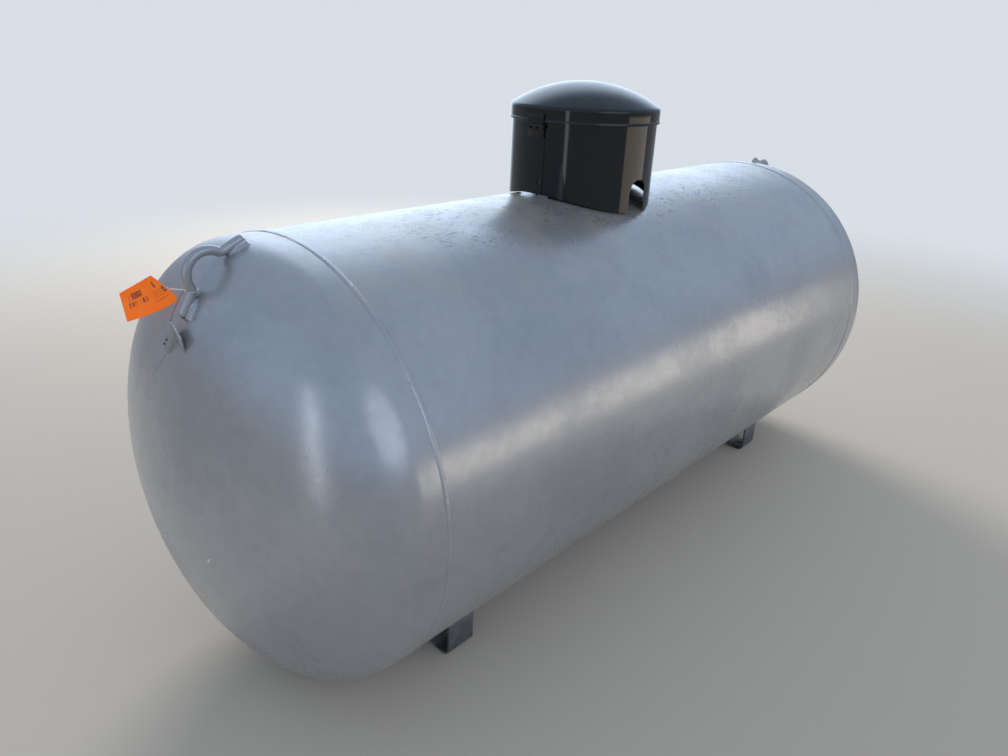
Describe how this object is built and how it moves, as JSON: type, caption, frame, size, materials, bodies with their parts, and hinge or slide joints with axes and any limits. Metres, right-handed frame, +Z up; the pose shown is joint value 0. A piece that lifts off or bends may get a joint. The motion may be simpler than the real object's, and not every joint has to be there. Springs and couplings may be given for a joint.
{
  "type": "horizontal pressure tank",
  "caption": "Horizontal steel gas tank with dished heads, pressed feet, bar lifting lugs and a hinged round valve hood on its crest.",
  "frame": {"origin": "on the ground, under the middle of the tank", "axes": "+X along the tank to its far head, +Y to its back, +Z up; the pictured side faces -Y"},
  "size_m": [2.432, 0.9532, 1.2562],
  "materials": {
    "silver_paint": "silver-grey paint, slightly rough, dusty",
    "black_paint": "gloss black powder coat",
    "valve_brass": "dull brass",
    "cap_rubber": "matt black",
    "plain_steel": "dull grey",
    "orange_card": "matt orange card with a paper reinforcement ring",
    "tie_wire": "thin rusty wire"
  },
  "bodies": {
    "tank": {"shell": "silver_paint", "head_near": "silver_paint", "head_far": "silver_paint", "girth_weld_near": "silver_paint", "girth_weld_far": "silver_paint", "seam_weld": "silver_paint", "foot_near_front": "silver_paint", "foot_near_back": "silver_paint", "foot_far_front": "silver_paint", "foot_far_back": "silver_paint", "lifting_lug_near": "silver_paint", "lifting_lug_far": "silver_paint", "tag_bracket": "silver_paint", "hood_tabs": "silver_paint", "couplings": "silver_paint", "hood_body": "black_paint", "hinge_leaf_body": "black_paint", "hinge_pin": "black_paint", "lock_ear_body": "black_paint", "fill_valve": "valve_brass", "relief_valve": "valve_brass", "service_valve": "valve_brass", "service_plug": "valve_brass", "vapour_valve": "valve_brass", "vapour_cap": "valve_brass", "liquid_valve": "valve_brass", "liquid_cap": "valve_brass", "fill_cap": "cap_rubber", "relief_cap": "cap_rubber", "service_handwheel": "plain_steel", "float_gauge": "plain_steel", "tag": "orange_card", "tag_wire": "tie_wire", "bracket_wire": "tie_wire"},
    "lid": {"hood_lid": "black_paint", "hinge_leaf_lid": "black_paint", "lock_ear_lid": "black_paint"}
  },
  "joints": [
    {"name": "lid_hinge", "type": "hinge", "parent": "tank", "child": "lid", "pos_m": [-0.216, 0, 1.15316], "axis": [0, -1, 0], "range_deg": [0, 110]}
  ]
}
